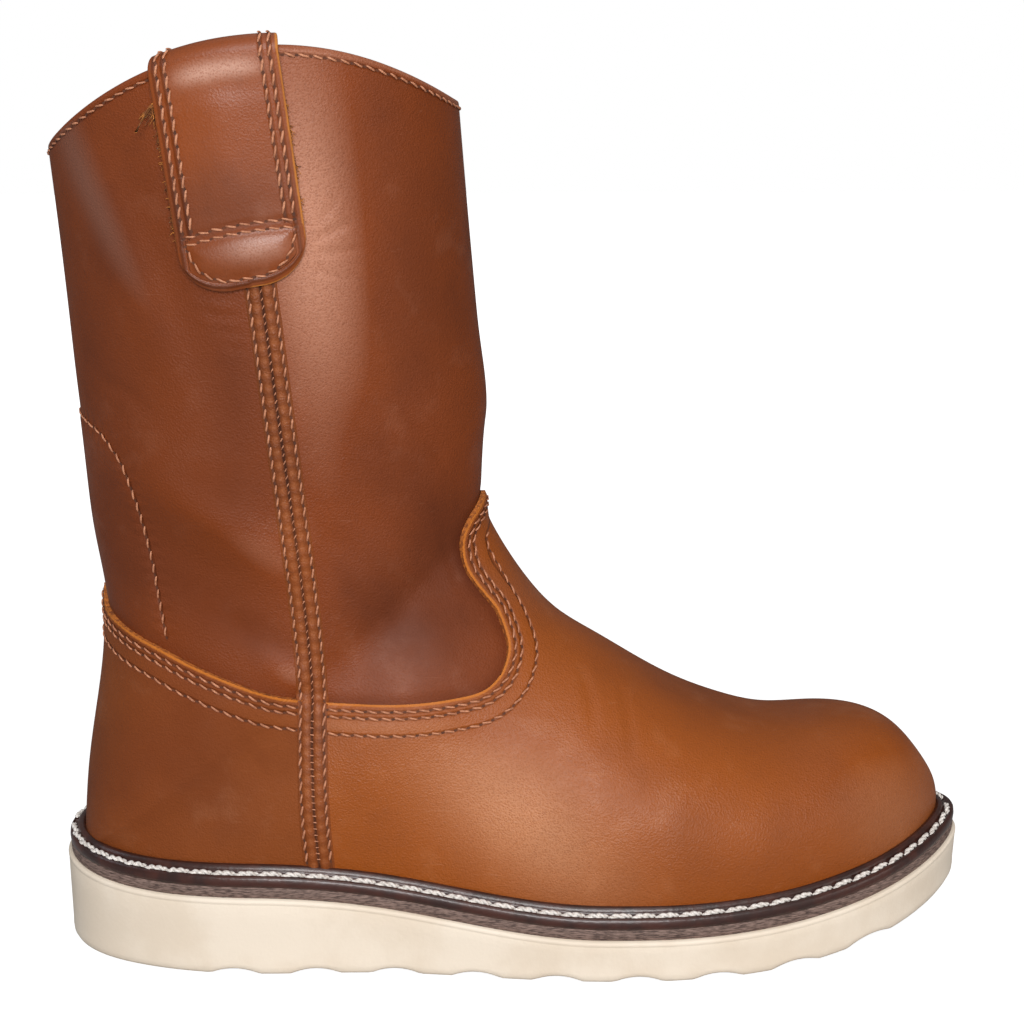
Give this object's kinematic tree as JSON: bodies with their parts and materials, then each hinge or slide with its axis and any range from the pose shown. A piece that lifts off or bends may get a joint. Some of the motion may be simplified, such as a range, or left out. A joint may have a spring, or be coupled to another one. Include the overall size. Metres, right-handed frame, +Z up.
{
  "type": "pull-on work boot",
  "caption": "Right pull-on work boot in brown leather, with a scalloped collar, pull straps, a stitched welt and a cream wedge outsole.",
  "frame": {"origin": "middle of the bounding box on the ground", "axes": "+X towards the toe, +Y towards the inner side of the foot, +Z up"},
  "size_m": [0.31, 0.1158, 0.3012],
  "materials": {
    "outsole": "matt cream foam rubber",
    "midsole": "matt grey-brown with fine streaks",
    "welt": "glossy dark brown",
    "insole": "matt tan",
    "leg_leather": "smooth oiled red-brown leather",
    "foot_leather": "smooth oiled orange-brown leather"
  },
  "bodies": {
    "root": {"outsole": "outsole", "midsole": "midsole", "welt": "welt", "insole": "insole", "upper": "leg_leather", "vamp": "foot_leather", "counter": "foot_leather", "side_seam_outer": "leg_leather", "side_seam_inner": "leg_leather", "pull_strap_outer": "leg_leather", "pull_strap_inner": "leg_leather"}
  },
  "joints": []
}
